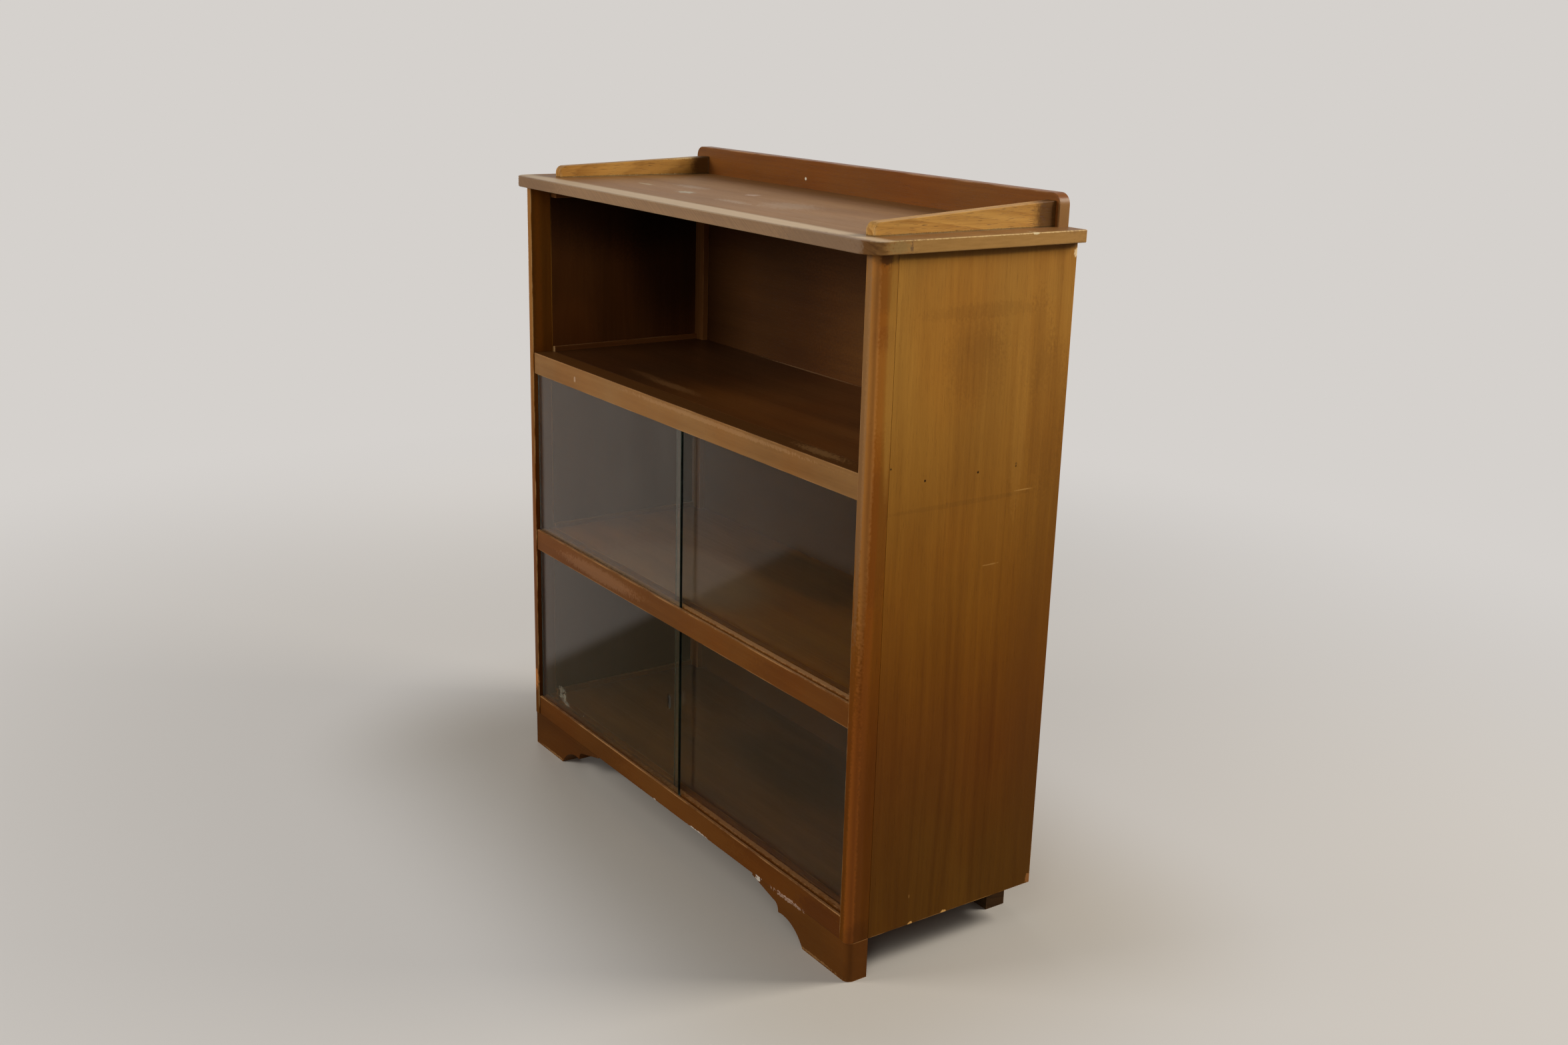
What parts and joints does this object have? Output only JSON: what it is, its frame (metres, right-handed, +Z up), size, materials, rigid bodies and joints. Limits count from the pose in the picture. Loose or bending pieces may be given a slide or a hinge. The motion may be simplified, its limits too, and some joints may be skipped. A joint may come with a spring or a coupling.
{
  "type": "bookcase with sliding glass doors",
  "caption": "Low wooden bookcase with an open top compartment and two rows of frameless sliding glass doors, a low gallery on its top and bracket feet.",
  "frame": {"origin": "on the floor under the middle of the top board", "axes": "+X along the front to the right, +Y from the front to the back, +Z up"},
  "size_m": [0.975, 0.357, 1.061],
  "materials": {
    "side_wood": "golden brown stain under worn satin varnish",
    "front_wood": "reddish brown stain under worn satin varnish",
    "top_wood": "brown stain, varnish worn and faded on the top face",
    "shelf_wood": "brown satin varnish",
    "strip_wood": "dark brown stain",
    "back_ply": "stained plywood",
    "door_glass": "clear float glass with ground edges",
    "pin_steel": "dull steel"
  },
  "bodies": {
    "case": {"back_panel": "back_ply", "bottom_left_bead": "strip_wood", "bottom_left_bearer": "strip_wood", "bottom_rail": "front_wood", "bottom_right_bead": "strip_wood", "bottom_right_bearer": "strip_wood", "bottom_shelf": "shelf_wood", "gallery_back_rail": "top_wood", "gallery_left_rail": "top_wood", "gallery_right_rail": "top_wood", "left_front_foot": "front_wood", "left_front_stile": "front_wood", "left_panel_pins": "pin_steel", "left_rear_foot": "strip_wood", "left_rear_post": "side_wood", "left_side_panel": "side_wood", "lower_back_rail": "strip_wood", "middle_left_bead": "strip_wood", "middle_left_bearer": "strip_wood", "middle_rail": "front_wood", "middle_right_bead": "strip_wood", "middle_right_bearer": "strip_wood", "middle_shelf": "shelf_wood", "right_front_foot": "front_wood", "right_front_stile": "front_wood", "right_panel_pins": "pin_steel", "right_rear_foot": "strip_wood", "right_rear_post": "side_wood", "right_side_panel": "side_wood", "top_board": "top_wood", "top_left_cleat": "strip_wood", "top_right_cleat": "strip_wood", "upper_left_bead": "strip_wood", "upper_left_bearer": "strip_wood", "upper_rail": "front_wood", "upper_right_bead": "strip_wood", "upper_right_bearer": "strip_wood", "upper_shelf": "shelf_wood"},
    "lower_left_door": {"lower_left_door": "door_glass"},
    "lower_right_door": {"lower_right_door": "door_glass"},
    "upper_left_door": {"upper_left_door": "door_glass"},
    "upper_right_door": {"upper_right_door": "door_glass"}
  },
  "joints": [
    {"name": "upper_left_slide", "type": "slide", "parent": "case", "child": "upper_left_door", "axis": [1, 0, 0], "range_m": [0, 0.439]},
    {"name": "upper_right_slide", "type": "slide", "parent": "case", "child": "upper_right_door", "axis": [-1, 0, 0], "range_m": [0, 0.439]},
    {"name": "lower_left_slide", "type": "slide", "parent": "case", "child": "lower_left_door", "axis": [1, 0, 0], "range_m": [0, 0.439]},
    {"name": "lower_right_slide", "type": "slide", "parent": "case", "child": "lower_right_door", "axis": [-1, 0, 0], "range_m": [0, 0.439]}
  ]
}
